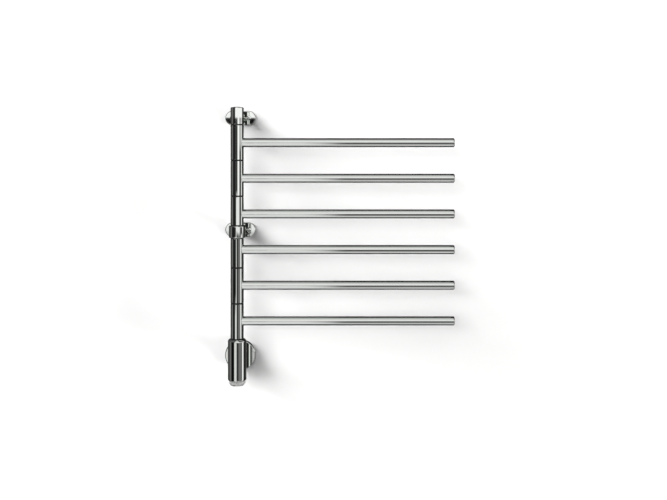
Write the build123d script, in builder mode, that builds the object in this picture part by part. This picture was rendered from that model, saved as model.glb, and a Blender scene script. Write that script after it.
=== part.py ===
from build123d import *
from math import radians, tan
import os

# Electric heated towel rail: six bars on sleeves that swing about a fixed upright post.
# The frame is in millimetres. X runs along the bars, +Y goes into the wall and +Z is up.
# The origin is the centre of the lower wall plate, on the wall's face.

# Post and sleeve stack
wall_standoff = 80.0
core_diameter = 22.0
core_wall = 2.0
bush_wall = 1.45
hub_wall = 3.5
arm_pitch = 87.0
arm_count_below_collar = 3
arm_count_above_collar = 3
hub_edge_chamfer = 0.3

# Plain bearings at both ends of each sleeve
bush_length = 14.0
bush_flange_thickness = 1.5
bush_flange_inset = 0.3

# Bars
bar_diameter = 22.0
bar_wall = 1.5
bar_reach = 531.0
bar_root_relief = 0.5
bar_cap_rim = 4.5
bar_cap_edge_round = 2.8
bar_cap_dome = 0.8
bar_cap_plug_length = 12.0
element_diameter = 8.0
element_socket_depth = 8.0
element_seat_length = 6.0
element_seat_setback = 12.0
element_seat_chamfer = 0.7

# Swing stops inside the sleeves
swing_angle = 180.0
stop_pin_diameter = 4.0
stop_pin_tail = 1.0
stop_pocket_depth = 1.3
stop_pocket_offset = 21.0

# Wiring in the post
wire_hole_diameter = 8.0
loom_diameter = 7.0

# Top bracket head and its cap
head_height = 39.0
head_edge_chamfer = 1.5
head_nut_recess_depth = 12.0
head_nut_recess_wall = 3.0
head_nut_height = 6.0
head_nut_side_gap = 0.4
head_arm_height = 21.5
top_cap_rim = 5.0
top_cap_edge_round = 2.0
top_cap_dome = 2.0
top_cap_plug_length = 4.5

# Middle collar
collar_rim = 4.0
collar_height = 30.0
collar_edge_round = 3.0

# Standoff arms and their wall flanges
arm_diameter = 20.0
arm_spigot_diameter = 10.0
head_spigot_depth = 4.0
collar_spigot_depth = 6.0
flange_length = 77.0
flange_height = 36.0
flange_thickness = 6.0
flange_edge_round = 1.8
flange_arm_recess = 1.5
flange_screw_spacing = 41.0
arm_screw_diameter = 6.0
arm_screw_head_diameter = 11.0
arm_screw_length = 16.0
arm_screw_sink = 0.4

# Directions about the post, counted from +X, and the angle of every countersink
wall_direction = 90.0
room_direction = -90.0
countersink_angle = 90.0

# Wall screws
screw_neck_diameter = 5.5
screw_thread_diameter = 4.8
screw_head_diameter = 12.0
screw_head_dome = 1.1
screw_wall_length = 34.0
screw_point_length = 6.0
screw_recess_span = 6.6
screw_recess_width = 1.5
screw_recess_depth = 2.2
screw_hole_clearance = 0.25

# Grub screws
grub_diameter = 5.0
grub_sink = 0.6
grub_socket_diameter = 2.5
grub_socket_depth = 1.8
grub_direction = 155.0

# Control housing
housing_diameter = 45.0
housing_wall = 2.5
housing_rim_wall = 4.0
housing_height = 101.0
housing_rise = 55.5
housing_top_wall = 8.0
housing_bottom_round = 3.5
ledge_width = 7.7
ledge_height = 4.0
core_nut_height = 6.0
core_nut_across_flats = 31.0
core_tail = 1.5

# Lower arm, wall plate and cover rose
lower_arm_diameter = 24.0
lower_arm_wall = 3.0
rose_diameter = 77.0
rose_depth = 11.0
rose_wall = 1.5
rose_edge_round = 2.2
rose_arm_gap = 0.3
plate_thickness = 4.0
plate_boss_wall = 4.0
plate_boss_height = 5.0
plate_screw_circle_diameter = 50.0
plate_screw_count = 3
cable_hole_diameter = 16.0
gland_bore = 8.0
gland_lip_width = 2.0
gland_lip_thickness = 1.5

# Controls inside the housing
end_plate_thickness = 4.0
seal_section = 1.5
end_screw_circle_diameter = 30.0
end_screw_count = 2
end_screw_diameter = 3.0
end_screw_head_diameter = 5.6
end_screw_slot_width = 0.8
end_screw_slot_depth = 0.6
control_body_width = 17.0
control_body_height = 9.0
control_body_corner = 1.7
board_diameter = 25.0
board_thickness = 1.6
terminal_length = 21.0
terminal_width = 12.0
terminal_height = 12.0
terminal_ways = 3
terminal_screw_diameter = 3.6
terminal_screw_depth = 3.0
terminal_screw_edge = 0.9
terminal_chamfer = 0.7
fuse_diameter = 4.4
fuse_length = 12.0
fuse_side_gap = 0.5

# Knob
knob_diameter = 40.4
knob_foot_diameter = 34.2
knob_height = 11.5
knob_straight_height = 6.5
knob_edge_round = 1.6
knob_flute_count = 40
knob_flute_diameter = 1.9
knob_relief_depth = 2.0
knob_rim = 2.6
shaft_diameter = 6.0
shaft_knob_depth = 5.5
shaft_control_depth = 6.0
shaft_chamfer = 0.3
pointer_diameter = 2.8
pointer_depth = 4.0
pointer_height = 3.6
pointer_direction = -41.0

# Clearances
running_gap = 0.05
joint_gap = 0.3
stop_gap = 0.25
knob_gap = 0.6
least_land = 0.3

# Radii that follow from the sizes above
core_radius = core_diameter / 2
core_bore_radius = core_radius - core_wall
bush_bore_radius = core_radius + running_gap
hub_bore_radius = bush_bore_radius + bush_wall
post_radius = hub_bore_radius + hub_wall
bush_flange_radius = post_radius - bush_flange_inset
bar_radius = bar_diameter / 2
bar_bore_radius = bar_radius - bar_wall
collar_radius = post_radius + collar_rim
housing_radius = housing_diameter / 2
housing_bore_radius = housing_radius - housing_wall
end_plate_radius = housing_radius - housing_rim_wall
lower_arm_radius = lower_arm_diameter / 2

# Heights that follow from the sizes above
housing_top = housing_rise
housing_bottom = housing_top - housing_height
housing_ceiling = housing_top - housing_top_wall
arm_count = arm_count_below_collar + arm_count_above_collar
collar_centre = housing_top + arm_count_below_collar * arm_pitch
head_bottom = housing_top + arm_count * arm_pitch
head_top = head_bottom + head_height
head_arm_centre = head_bottom + head_arm_height
nut_floor = head_top - head_nut_recess_depth
core_top = nut_floor + head_nut_height
core_bottom = housing_ceiling - core_nut_height - core_tail
end_gap = bush_flange_thickness + joint_gap
hub_half_gap = bush_flange_thickness + joint_gap / 2
plate_inner = housing_bottom + end_plate_thickness
seal_middle = housing_bottom + end_plate_thickness / 2
ledge_top = plate_inner + ledge_height
board_bottom = plate_inner + control_body_height
board_top = board_bottom + board_thickness
terminal_top = board_top + terminal_height
knob_top = housing_bottom - knob_gap
knob_bottom = knob_top - knob_height

post_axis = Axis((0, -wall_standoff, 0), (0, 0, 1))
parts_made = {}


def level(height):
    """Horizontal plane on the post's axis, with +Z up."""
    return Plane(origin=(0, -wall_standoff, height), x_dir=(1, 0, 0), z_dir=(0, 0, 1))


def upright(height, direction=0.0):
    """Upright plane through the post's axis: local x points out in the given direction and local y is +Z."""
    return Plane(
        origin=(0, -wall_standoff, height),
        x_dir=Vector(1, 0, 0).rotate(Axis.Z, direction),
        z_dir=Vector(0, -1, 0).rotate(Axis.Z, direction),
    )


def facing_room(height, distance=0.0, across=0.0):
    """Plane parallel to the wall that looks into the room: local x is +X and local y is +Z."""
    return Plane(origin=(across, -distance, height), x_dir=(1, 0, 0), z_dir=(0, -1, 0))


def away_from_wall(height, across=0.0):
    """Horizontal plane for turned wall pieces: local x is +X and local y is the distance from the wall."""
    return Plane(origin=(across, 0, height), x_dir=(1, 0, 0), z_dir=(0, 0, -1))


def wall_axis(height, across=0.0):
    """Line square to the wall through a point given by its height and its place along X."""
    return Axis((across, 0, height), (0, -1, 0))


def bar_axis(height):
    """Line along a bar at the given height."""
    return Axis((0, -wall_standoff, height), (1, 0, 0))


def along_bar(height, distance):
    """Plane square to a bar, whose normal points to the bar's closed end."""
    return Plane(origin=(distance, -wall_standoff, height), x_dir=(0, 1, 0), z_dir=(1, 0, 0))


def bar_profile(height, distance):
    """Upright plane for turned bar pieces: local x is the radius and local y runs along the bar."""
    return Plane(origin=(distance, -wall_standoff, height), x_dir=(0, 0, 1), z_dir=(0, 1, 0))


def radial(height, direction, radius):
    """Plane on a round surface about the post, whose normal points outwards in the given direction."""
    outward = Vector(1, 0, 0).rotate(Axis.Z, direction)
    centre = Vector(0, -wall_standoff, height) + outward * radius
    return Plane(origin=centre, x_dir=(0, 0, 1), z_dir=outward)


def cone_depth(outer, inner):
    """Depth of a countersink between two radii."""
    return (outer - inner) / tan(radians(countersink_angle / 2))


def finish(builder, label):
    """Label a finished piece and write it to its own file."""
    builder.part.label = label
    parts_made[label] = builder.part
    export_step(builder.part, f"parts/{label}.step")


def arm_number_height(number):
    """Height of a bar's centre line, counted from the lowest bar, which is number 1."""
    return housing_top + (number - 0.5) * arm_pitch


def hub_ends(number):
    """Lower and upper end of a sleeve, with the gaps to its neighbours taken off."""
    low = housing_top + (number - 1) * arm_pitch + hub_half_gap
    high = housing_top + number * arm_pitch - hub_half_gap
    if number == 1:
        low = housing_top + end_gap
    if number == arm_count_below_collar:
        high = collar_centre - collar_height / 2 - end_gap
    if number == arm_count_below_collar + 1:
        low = collar_centre + collar_height / 2 + end_gap
    if number == arm_count:
        high = head_bottom - end_gap
    return low, high


def stop_height(number):
    """Height of a sleeve's stop pin, on the side of the bar that is away from the collar."""
    side = 1 if number > arm_count_below_collar else -1
    return arm_number_height(number) + side * stop_pocket_offset


def dome_arc(radius, low, dome):
    """Arc from a rim up to the crown of a dome, whose centre lies on the axis."""
    RadiusArc((radius, low), (0, low + dome), -(radius**2 + dome**2) / (2 * dome))


def domed_disc(radius, rim, dome):
    """Half outline of a disc with a slightly domed face, from local y 0 up to rim."""
    Polyline((0, rim), (0, 0), (radius, 0), (radius, rim - dome))
    dome_arc(radius, rim - dome, dome)


def round_rim(edge_round):
    """Round the outer upper corner of the half outline that is being sketched."""
    fillet(vertices().group_by(Axis.X)[-1].sort_by(Axis.Y)[-1], edge_round)


def ring(inner, outer, low, high):
    """Half profile of a ring between two radii and two heights."""
    Polyline((inner, low), (outer, low), (outer, high), (inner, high), close=True)


# Swinging arms
stop_pin_reach = hub_bore_radius + stop_pocket_depth - stop_gap


def make_hub(number):
    """Sleeve with a side socket for its bar and an inner pocket that stops the swing."""
    height = arm_number_height(number)
    low, high = hub_ends(number)
    pocket_half = stop_pin_diameter / 2 + stop_gap
    pocket_over = Vector(hub_bore_radius, pocket_half).get_angle(Vector(1, 0))
    with BuildPart() as hub:
        with BuildSketch(level(low)):
            Circle(post_radius)
            Circle(hub_bore_radius, mode=Mode.SUBTRACT)
        extrude(amount=high - low)
        ends = hub.edges().filter_by(GeomType.CIRCLE).group_by(SortBy.RADIUS)[-1]
        chamfer(ends, hub_edge_chamfer)
        with BuildSketch(along_bar(height, 0)):
            Circle(bar_radius)
        extrude(amount=post_radius, mode=Mode.SUBTRACT)
        with BuildSketch(upright(stop_height(number), wall_direction - pocket_over)):
            with BuildLine():
                ring(core_radius, hub_bore_radius + stop_pocket_depth, -pocket_half, pocket_half)
            make_face()
        revolve(axis=post_axis, revolution_arc=swing_angle + 2 * pocket_over, mode=Mode.SUBTRACT)
    finish(hub, f"hub_{number}")


def make_bushes(number):
    """Pair of flanged plain bearings, pressed into the two ends of a sleeve."""
    low, high = hub_ends(number)
    with BuildPart() as bushes:
        with BuildSketch(upright(0)):
            for end, inward in ((low, 1), (high, -1)):
                outer_end = end - inward * bush_flange_thickness
                inner_end = end + inward * bush_length
                with BuildLine():
                    Polyline(
                        (bush_bore_radius, outer_end),
                        (bush_flange_radius, outer_end),
                        (bush_flange_radius, end),
                        (hub_bore_radius, end),
                        (hub_bore_radius, inner_end),
                        (bush_bore_radius, inner_end),
                        close=True,
                    )
                make_face()
        revolve(axis=post_axis)
    finish(bushes, f"bushes_{number}")


def make_bar(number):
    """Round tube, shaped at its root to the sleeve and open at its far end."""
    height = arm_number_height(number)
    tube_end = bar_reach - bar_cap_rim
    with BuildPart() as bar:
        with BuildSketch(along_bar(height, 0)):
            Circle(bar_radius)
            Circle(bar_bore_radius, mode=Mode.SUBTRACT)
        extrude(amount=tube_end)
        with BuildSketch(level(height - bar_diameter)):
            Circle(hub_bore_radius + bar_root_relief)
        extrude(amount=2 * bar_diameter, mode=Mode.SUBTRACT)
    finish(bar, f"bar_{number}")


def make_bar_cap(number):
    """Rounded end plug of a bar, with a blind socket for the heating element's tip."""
    height = arm_number_height(number)
    tube_end = bar_reach - bar_cap_rim
    with BuildPart() as cap:
        with BuildSketch(bar_profile(height, tube_end)):
            with BuildLine():
                domed_disc(bar_radius, bar_cap_rim, bar_cap_dome)
            make_face()
            round_rim(bar_cap_edge_round)
        revolve(axis=bar_axis(height))
        with BuildSketch(along_bar(height, tube_end - bar_cap_plug_length)):
            Circle(bar_bore_radius)
            Circle(element_diameter / 2, mode=Mode.SUBTRACT)
        extrude(amount=element_socket_depth)
        with BuildSketch(along_bar(height, tube_end - bar_cap_plug_length + element_socket_depth)):
            Circle(bar_bore_radius)
        extrude(amount=bar_cap_plug_length - element_socket_depth)
    finish(cap, f"bar_cap_{number}")


def make_element(number):
    """Heating rod that runs along a bar, centred by a seat at its root and by the end plug."""
    height = arm_number_height(number)
    seat_start = post_radius + element_seat_setback
    rod_end = bar_reach - bar_cap_rim - bar_cap_plug_length + element_socket_depth
    with BuildPart() as element:
        with BuildSketch(along_bar(height, seat_start)):
            Circle(bar_bore_radius)
        extrude(amount=element_seat_length)
        chamfer(element.edges().filter_by(GeomType.CIRCLE), element_seat_chamfer)
        with BuildSketch(along_bar(height, seat_start)):
            Circle(element_diameter / 2)
        extrude(amount=rod_end - seat_start)
    finish(element, f"bar_element_{number}")


# Fixed post
def make_core_tube():
    """Fixed inner tube that carries the sleeves, with wire holes and stop pin holes for each arm."""
    with BuildPart() as core:
        with BuildSketch(level(core_bottom)):
            Circle(core_radius)
            Circle(core_bore_radius, mode=Mode.SUBTRACT)
        extrude(amount=core_top - core_bottom)
        for number in range(1, arm_count + 1):
            with Locations(radial(arm_number_height(number), room_direction, core_radius)):
                Hole(wire_hole_diameter / 2, depth=core_radius)
            with Locations(radial(stop_height(number), wall_direction, core_radius)):
                Hole(stop_pin_diameter / 2, depth=core_radius)
    finish(core, "core_tube")


def make_stop_pins():
    """Pins in the core tube, one in each sleeve's pocket."""
    pin_start = core_bore_radius - stop_pin_tail
    with BuildPart() as pins:
        for number in range(1, arm_count + 1):
            with BuildSketch(radial(stop_height(number), wall_direction, pin_start)):
                Circle(stop_pin_diameter / 2)
            extrude(amount=stop_pin_reach - pin_start)
    finish(pins, "stop_pins")


def make_wiring_loom():
    """Bundle of leads that stands on the terminal block and runs up inside the core tube."""
    with BuildPart() as loom:
        with BuildSketch(level(terminal_top)):
            Circle(loom_diameter / 2)
        extrude(amount=arm_number_height(arm_count) - terminal_top)
    finish(loom, "wiring_loom")


# Top bracket
nut_recess_radius = post_radius - head_nut_recess_wall


def make_top_head():
    """Sleeve of the top bracket, fixed on the core tube, with a recess for the retaining nut."""
    with BuildPart() as head:
        with BuildSketch(level(head_bottom)):
            Circle(post_radius)
        extrude(amount=head_height)
        bottom_edge = head.faces().sort_by(Axis.Z)[0].edges()
        chamfer(bottom_edge, head_edge_chamfer)
        with BuildSketch(level(head_bottom)):
            Circle(core_radius)
        extrude(amount=head_height, mode=Mode.SUBTRACT)
        with BuildSketch(level(nut_floor)):
            Circle(nut_recess_radius)
        extrude(amount=head_nut_recess_depth, mode=Mode.SUBTRACT)
        with Locations(radial(head_arm_centre, wall_direction, post_radius)):
            Hole(arm_spigot_diameter / 2, depth=head_spigot_depth)
        with Locations(radial(head_arm_centre, grub_direction, post_radius)):
            Hole(grub_diameter / 2, depth=post_radius - core_radius)
    finish(head, "top_head")


def make_top_nut():
    """Round nut that holds the core tube in the top head."""
    with BuildPart() as nut:
        with BuildSketch(level(nut_floor)):
            Circle(nut_recess_radius - head_nut_side_gap)
            Circle(core_radius, mode=Mode.SUBTRACT)
        extrude(amount=head_nut_height)
    finish(nut, "top_nut")


def make_top_cap():
    """Domed cap that plugs into the top head."""
    with BuildPart() as cap:
        with BuildSketch(upright(head_top)):
            with BuildLine():
                domed_disc(post_radius, top_cap_rim, top_cap_dome)
            make_face()
            round_rim(top_cap_edge_round)
        revolve(axis=post_axis)
        with BuildSketch(level(head_top - top_cap_plug_length)):
            Circle(nut_recess_radius)
        extrude(amount=top_cap_plug_length)
    finish(cap, "top_cap")


# Middle bracket
def make_middle_collar():
    """Ring that is fixed on the core tube between the third and fourth sleeve."""
    with BuildPart() as collar:
        with BuildSketch(level(collar_centre - collar_height / 2)):
            Circle(collar_radius)
        extrude(amount=collar_height)
        fillet(collar.edges().filter_by(GeomType.CIRCLE), collar_edge_round)
        with BuildSketch(level(collar_centre - collar_height / 2)):
            Circle(core_radius)
        extrude(amount=collar_height, mode=Mode.SUBTRACT)
        with Locations(radial(collar_centre, wall_direction, collar_radius)):
            Hole(arm_spigot_diameter / 2, depth=collar_spigot_depth)
        with Locations(radial(collar_centre, grub_direction, collar_radius)):
            Hole(grub_diameter / 2, depth=collar_radius - core_radius)
    finish(collar, "middle_collar")


# Standoff arms and flanges of the top and middle brackets
arm_start = flange_thickness - flange_arm_recess
sunk_head_depth = cone_depth(arm_screw_head_diameter / 2, arm_screw_diameter / 2)
arm_thread_end = arm_screw_sink + arm_screw_length


def make_standoff_arm(label, height, seat_radius, spigot_depth):
    """Solid arm, hollowed at its front to fit the round piece it carries, with a spigot into it."""
    with BuildPart() as arm:
        with BuildSketch(facing_room(height, arm_start)):
            Circle(arm_diameter / 2)
        extrude(amount=wall_standoff - arm_start)
        with BuildSketch(level(height - arm_diameter)):
            Circle(seat_radius)
        extrude(amount=2 * arm_diameter, mode=Mode.SUBTRACT)
        with BuildSketch(facing_room(height, arm_start)):
            Circle(arm_spigot_diameter / 2)
        extrude(amount=wall_standoff - seat_radius + spigot_depth - arm_start)
        with BuildSketch(facing_room(height, arm_start)):
            Circle(arm_screw_diameter / 2)
        extrude(amount=arm_thread_end - arm_start, mode=Mode.SUBTRACT)
    finish(arm, label)


def make_flange(label, height):
    """Wall flange with rounded ends, two sunk screw holes and a seat for the standoff arm."""
    with BuildPart() as flange:
        with BuildSketch(facing_room(height)):
            SlotOverall(flange_length, flange_height)
        extrude(amount=flange_thickness)
        fillet(flange.faces().sort_by(Axis.Y)[0].edges(), flange_edge_round)
        with Locations(facing_room(height, flange_thickness)):
            with GridLocations(flange_screw_spacing, 0, 2, 1):
                CounterSinkHole(
                    screw_neck_diameter / 2 + screw_hole_clearance,
                    screw_head_diameter / 2 + screw_hole_clearance,
                    counter_sink_angle=countersink_angle,
                )
        with BuildSketch(facing_room(height, arm_start)):
            Circle(arm_diameter / 2)
        extrude(amount=flange_arm_recess, mode=Mode.SUBTRACT)
        with BuildSketch(away_from_wall(height)):
            with BuildLine():
                sunk_screw_hole(arm_screw_diameter / 2, arm_screw_head_diameter / 2)
            make_face()
        revolve(axis=wall_axis(height), mode=Mode.SUBTRACT)
    finish(flange, label)


def sunk_screw_hole(radius, head_radius):
    """Half profile of the arm screw's hole, with its countersink at the wall."""
    Polyline(
        (0, 0),
        (head_radius, 0),
        (head_radius, arm_screw_sink),
        (radius, arm_screw_sink + sunk_head_depth),
        (radius, flange_thickness),
        (0, flange_thickness),
        close=True,
    )


def make_arm_screws():
    """Two screws that hold the top and middle flanges on their arms, put in from behind."""
    head = arm_screw_head_diameter / 2
    shank = arm_screw_diameter / 2
    with BuildPart() as screws:
        for height in (head_arm_centre, collar_centre):
            with BuildSketch(away_from_wall(height)):
                with BuildLine():
                    Polyline(
                        (0, arm_screw_sink),
                        (head, arm_screw_sink),
                        (shank, arm_screw_sink + sunk_head_depth),
                        (shank, arm_thread_end),
                        (0, arm_thread_end),
                        close=True,
                    )
                make_face()
            revolve(axis=wall_axis(height))
            with BuildSketch(facing_room(height, arm_screw_sink)):
                RegularPolygon(grub_socket_diameter, 6)
            extrude(amount=grub_socket_depth, mode=Mode.SUBTRACT)
    finish(screws, "arm_screws")


# Wall screws: each seat is a place along X, a height and the distance of the seat's face from the wall
screw_seats = [
    (side * flange_screw_spacing / 2, height, flange_thickness)
    for height in (head_arm_centre, collar_centre)
    for side in (-1, 1)
]
with BuildSketch() as plate_screw_pattern:
    with PolarLocations(plate_screw_circle_diameter / 2, plate_screw_count, start_angle=90):
        Circle(screw_neck_diameter / 2)
plate_seats = [(face.center().X, face.center().Y, plate_thickness) for face in plate_screw_pattern.faces()]


def make_wall_screws():
    """Seven raised countersunk screws, which stand out of the back of the flanges into the wall."""
    head = screw_head_diameter / 2
    neck = screw_neck_diameter / 2
    thread = screw_thread_diameter / 2
    with BuildPart() as screws:
        for across, height, face in screw_seats + plate_seats:
            head_top = face - screw_hole_clearance
            with BuildSketch(away_from_wall(height, across)):
                with BuildLine():
                    Polyline(
                        (0, -screw_wall_length),
                        (thread, screw_point_length - screw_wall_length),
                        (thread, 0),
                        (neck, 0),
                        (neck, head_top - cone_depth(head, neck)),
                        (head, head_top),
                    )
                    dome_arc(head, head_top, screw_head_dome)
                    Line((0, head_top + screw_head_dome), (0, -screw_wall_length))
                make_face()
            revolve(axis=wall_axis(height, across))
            recess_floor = head_top + screw_head_dome - screw_recess_depth
            with BuildSketch(facing_room(height, recess_floor, across)):
                Rectangle(screw_recess_span, screw_recess_width, rotation=45)
                Rectangle(screw_recess_span, screw_recess_width, rotation=-45)
            extrude(amount=screw_recess_depth, mode=Mode.SUBTRACT)
    finish(screws, "wall_screws")


def make_grub_screws():
    """Socket grub screws that lock the head and the collar on the core, and the arm in the wall plate."""
    with BuildPart() as grubs:
        for height, outer in ((head_arm_centre, post_radius), (collar_centre, collar_radius)):
            with BuildSketch(radial(height, grub_direction, core_radius)):
                Circle(grub_diameter / 2)
            extrude(amount=outer - grub_sink - core_radius)
            with BuildSketch(radial(height, grub_direction, outer - grub_sink - grub_socket_depth)):
                RegularPolygon(grub_socket_diameter / 2, 6)
            extrude(amount=grub_socket_depth, mode=Mode.SUBTRACT)
        with BuildSketch(under_boss(lower_arm_radius)):
            Circle(boss_grub_diameter / 2)
        extrude(amount=plate_boss_wall - grub_sink)
    finish(grubs, "grub_screws")


# Lower bracket
boss_radius = lower_arm_radius + plate_boss_wall
boss_top = plate_thickness + plate_boss_height
boss_grub_diameter = plate_boss_height - 2 * grub_sink
lower_arm_start = plate_thickness + gland_lip_thickness


def under_boss(drop):
    """Plane under the wall plate's boss, whose normal points down."""
    return Plane(
        origin=(0, -(boss_top - plate_boss_height / 2), -drop),
        x_dir=(1, 0, 0),
        z_dir=(0, 0, -1),
    )


def make_lower_arm():
    """Hollow arm between wall plate and housing, which also brings the supply leads in."""
    bore = lower_arm_radius - lower_arm_wall
    with BuildPart() as arm:
        with BuildSketch(facing_room(0, lower_arm_start)):
            Circle(lower_arm_radius)
            Circle(bore, mode=Mode.SUBTRACT)
        extrude(amount=wall_standoff - lower_arm_start)
        with BuildSketch(level(-lower_arm_diameter)):
            Circle(housing_bore_radius)
        extrude(amount=2 * lower_arm_diameter, mode=Mode.SUBTRACT)
    finish(arm, "lower_arm")


def make_wall_plate():
    """Round plate screwed to the wall under the rose, with a boss for the lower arm."""
    with BuildPart() as plate:
        with BuildSketch(facing_room(0)):
            Circle(rose_diameter / 2 - rose_wall)
        extrude(amount=plate_thickness)
        with BuildSketch(facing_room(0, plate_thickness)):
            Circle(boss_radius)
        extrude(amount=plate_boss_height)
        with BuildSketch(facing_room(0, plate_thickness)):
            Circle(lower_arm_radius)
        extrude(amount=plate_boss_height, mode=Mode.SUBTRACT)
        with Locations(facing_room(0, plate_thickness)):
            Hole(cable_hole_diameter / 2, depth=plate_thickness)
            with PolarLocations(plate_screw_circle_diameter / 2, plate_screw_count, start_angle=90):
                CounterSinkHole(
                    screw_neck_diameter / 2 + screw_hole_clearance,
                    screw_head_diameter / 2 + screw_hole_clearance,
                    depth=plate_thickness,
                    counter_sink_angle=countersink_angle,
                )
        with Locations(under_boss(boss_radius)):
            Hole(boss_grub_diameter / 2, depth=plate_boss_wall)
    finish(plate, "wall_plate")


def make_rose():
    """Round cover that hides the wall plate and its screws."""
    outer = rose_diameter / 2
    with BuildPart() as rose:
        with BuildSketch(facing_room(0)):
            Circle(outer)
        extrude(amount=rose_depth)
        fillet(rose.faces().sort_by(Axis.Y)[0].edges(), rose_edge_round)
        with BuildSketch(facing_room(0)):
            Circle(outer - rose_wall)
        extrude(amount=rose_depth - rose_wall, mode=Mode.SUBTRACT)
        with Locations(facing_room(0, rose_depth)):
            Hole(lower_arm_radius + rose_arm_gap, depth=rose_wall)
    finish(rose, "lower_rose")


def make_cable_gland():
    """Rubber grommet where the supply cable enters the wall plate."""
    bore = gland_bore / 2
    hole = cable_hole_diameter / 2
    with BuildPart() as gland:
        with BuildSketch(away_from_wall(0)):
            with BuildLine():
                Polyline(
                    (bore, 0),
                    (hole, 0),
                    (hole, plate_thickness),
                    (hole + gland_lip_width, plate_thickness),
                    (hole + gland_lip_width, lower_arm_start),
                    (bore, lower_arm_start),
                    close=True,
                )
            make_face()
        revolve(axis=wall_axis(0))
    finish(gland, "cable_gland")


# Control housing
def make_control_housing():
    """Round casing under the sleeves, open below, with a ledge for its end plate."""
    shoulder = min(housing_radius - post_radius, housing_top_wall) - least_land
    bottom_round = min(housing_bottom_round, housing_rim_wall - least_land)
    with BuildPart() as housing:
        with BuildSketch(level(housing_bottom)):
            Circle(housing_radius)
        extrude(amount=housing_height)
        fillet(housing.edges().sort_by(Axis.Z)[-1], shoulder)
        fillet(housing.edges().sort_by(Axis.Z)[0], bottom_round)
        with BuildSketch(level(housing_bottom)):
            Circle(end_plate_radius)
        extrude(amount=end_plate_thickness, mode=Mode.SUBTRACT)
        with BuildSketch(level(plate_inner)):
            Circle(housing_bore_radius - ledge_width)
        extrude(amount=ledge_height, mode=Mode.SUBTRACT)
        with BuildSketch(level(ledge_top)):
            Circle(housing_bore_radius)
        extrude(amount=housing_ceiling - ledge_top, mode=Mode.SUBTRACT)
        with BuildSketch(level(housing_ceiling)):
            Circle(core_radius)
        extrude(amount=housing_top_wall, mode=Mode.SUBTRACT)
        with Locations(radial(0, wall_direction, housing_radius)):
            Hole(lower_arm_radius, depth=housing_radius)
        with Locations(level(ledge_top)):
            with PolarLocations(end_screw_circle_diameter / 2, end_screw_count):
                Hole(end_screw_diameter / 2, depth=ledge_height)
    finish(housing, "control_housing")


def make_core_nut():
    """Hexagon nut that holds the core tube in the housing."""
    with BuildPart() as nut:
        with BuildSketch(level(housing_ceiling - core_nut_height)):
            RegularPolygon(core_nut_across_flats / 2, 6, major_radius=False)
            Circle(core_radius, mode=Mode.SUBTRACT)
        extrude(amount=core_nut_height)
    finish(nut, "core_nut")


def make_end_plate():
    """Disc that closes the housing from below, grooved at its rim for the seal."""
    with BuildPart() as plate:
        with BuildSketch(level(housing_bottom)):
            Circle(end_plate_radius)
        extrude(amount=end_plate_thickness)
        with BuildSketch(level(seal_middle - seal_section / 2)):
            Circle(end_plate_radius)
            Circle(end_plate_radius - seal_section, mode=Mode.SUBTRACT)
        extrude(amount=seal_section, mode=Mode.SUBTRACT)
        with Locations(Plane(origin=(0, -wall_standoff, housing_bottom), z_dir=(0, 0, -1))):
            Hole(shaft_diameter / 2 + running_gap, depth=end_plate_thickness)
            with PolarLocations(end_screw_circle_diameter / 2, end_screw_count):
                CounterSinkHole(
                    end_screw_diameter / 2,
                    end_screw_head_diameter / 2,
                    depth=end_plate_thickness,
                    counter_sink_angle=countersink_angle,
                )
    finish(plate, "end_plate")


def make_end_seal():
    """Rubber ring in the end plate's groove."""
    with BuildPart() as seal:
        with BuildSketch(upright(seal_middle)):
            with Locations((end_plate_radius - seal_section / 2, 0)):
                Circle(seal_section / 2)
        revolve(axis=post_axis)
    finish(seal, "end_plate_seal")


def make_end_screws():
    """Countersunk screws that hold the end plate on the housing's ledge."""
    head = end_screw_head_diameter / 2
    shank = end_screw_diameter / 2
    thread_length = end_plate_thickness + ledge_height
    with BuildPart() as screws:
        with BuildSketch(upright(housing_bottom)):
            with BuildLine():
                Polyline(
                    (end_screw_circle_diameter / 2, 0),
                    (end_screw_circle_diameter / 2 + head, 0),
                    (end_screw_circle_diameter / 2 + shank, cone_depth(head, shank)),
                    (end_screw_circle_diameter / 2 + shank, thread_length),
                    (end_screw_circle_diameter / 2, thread_length),
                    close=True,
                )
            make_face()
        revolve(axis=Axis((end_screw_circle_diameter / 2, -wall_standoff, housing_bottom), (0, 0, 1)))
        with BuildSketch(Plane(origin=(end_screw_circle_diameter / 2, -wall_standoff, housing_bottom))):
            Rectangle(end_screw_slot_width, end_screw_head_diameter)
        extrude(amount=end_screw_slot_depth, mode=Mode.SUBTRACT)
        mirror(about=Plane.YZ)
    finish(screws, "end_plate_screws")


def make_control_body():
    """Body of the rotary control, seated on the end plate."""
    with BuildPart() as body:
        with BuildSketch(level(plate_inner)):
            RectangleRounded(control_body_width, control_body_width, control_body_corner)
        extrude(amount=control_body_height)
        with Locations(Plane(origin=(0, -wall_standoff, plate_inner), z_dir=(0, 0, -1))):
            Hole(shaft_diameter / 2 + running_gap, depth=shaft_control_depth)
    finish(body, "rotary_control")


def make_circuit_board():
    """Round thermostat board on top of the rotary control."""
    with BuildPart() as board:
        with BuildSketch(level(board_bottom)):
            Circle(board_diameter / 2)
        extrude(amount=board_thickness)
    finish(board, "circuit_board")


def make_terminal_block():
    """Terminal block for the supply leads, with its screw wells on top."""
    way = terminal_length / terminal_ways
    with BuildPart() as block:
        with BuildSketch(level(board_top)):
            Rectangle(terminal_length, terminal_width)
        extrude(amount=terminal_height)
        chamfer(block.edges().filter_by(Axis.Z), terminal_chamfer)
        with Locations(level(terminal_top)):
            with Locations((0, (terminal_screw_diameter - terminal_width) / 2 + terminal_screw_edge)):
                with GridLocations(way, 0, terminal_ways, 1):
                    Hole(terminal_screw_diameter / 2, depth=terminal_screw_depth)
    finish(block, "terminal_block")


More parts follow.
